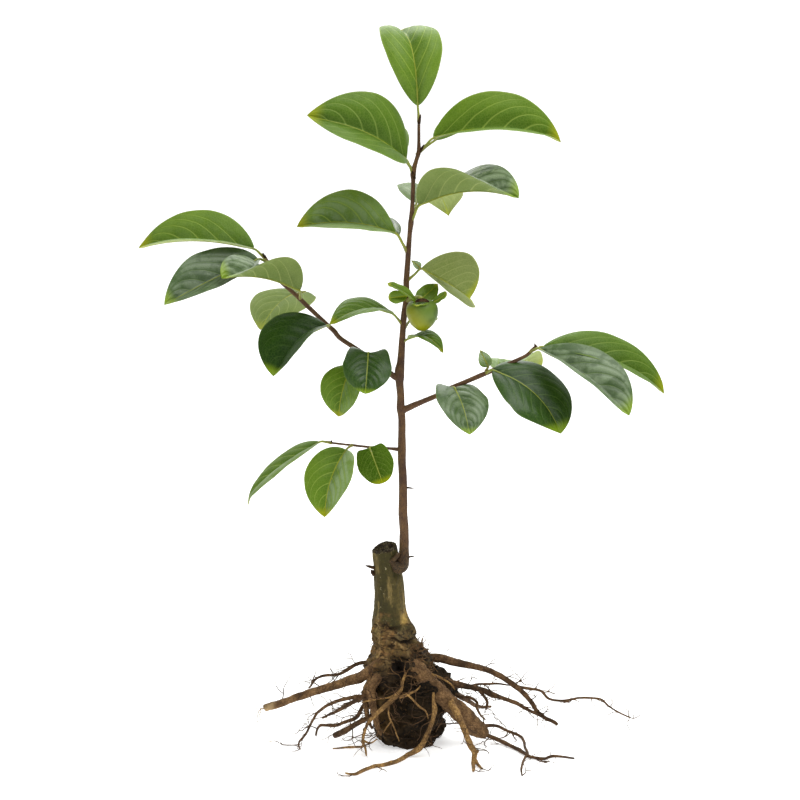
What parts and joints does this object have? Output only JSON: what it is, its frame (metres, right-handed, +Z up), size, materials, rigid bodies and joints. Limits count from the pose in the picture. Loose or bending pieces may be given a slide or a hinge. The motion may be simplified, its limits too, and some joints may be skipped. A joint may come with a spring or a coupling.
{
  "type": "young grafted persimmon tree on its root ball",
  "caption": "Young persimmon tree with a thick grafted stump, thin stem, large glossy leaves and a green fruit, standing on the earth that its bare spreading roots hold.",
  "frame": {"origin": "in the flat underside of the ball of earth, below the foot of the old stump", "axes": "+Z up along the trunk, +X to the right as the picture shows the tree, -Y towards the viewer"},
  "size_m": [0.476, 0.2478, 0.6513],
  "materials": {
    "young_bark": "matt young bark",
    "old_bark": "rough mossy bark",
    "leaf_green": "waxy leaf",
    "leaf_young": "soft young leaf",
    "fruit_green": "smooth unripe fruit",
    "root_bark": "earthy root bark",
    "earth": "crumbly dark earth"
  },
  "bodies": {
    "root": {"stem": "young_bark", "rootstock": "old_bark", "bough_left": "young_bark", "bough_right": "young_bark", "bough_lower_left": "young_bark", "foliage_middle": "leaf_green", "foliage_upper": "leaf_green", "foliage_top": "leaf_green", "foliage_left": "leaf_green", "foliage_right": "leaf_green", "foliage_lower_left": "leaf_green", "leaf_left_front": "leaf_green", "leaf_left_under": "leaf_green", "leaf_right_front": "leaf_green", "leaf_lower_left_front": "leaf_green", "root_right_thick": "root_bark", "root_left_thick": "root_bark", "root_right_high": "root_bark", "root_back_right": "root_bark", "root_back_left": "root_bark", "root_front_middle": "root_bark", "root_front_left": "root_bark", "root_front_right": "root_bark", "root_right_middle": "root_bark", "root_left_high": "root_bark", "root_left_middle": "root_bark", "root_left_low": "root_bark", "root_left_near": "root_bark", "root_back_outer_right": "root_bark", "root_back_outer_left": "root_bark", "root_ball": "earth"}
  },
  "joints": []
}
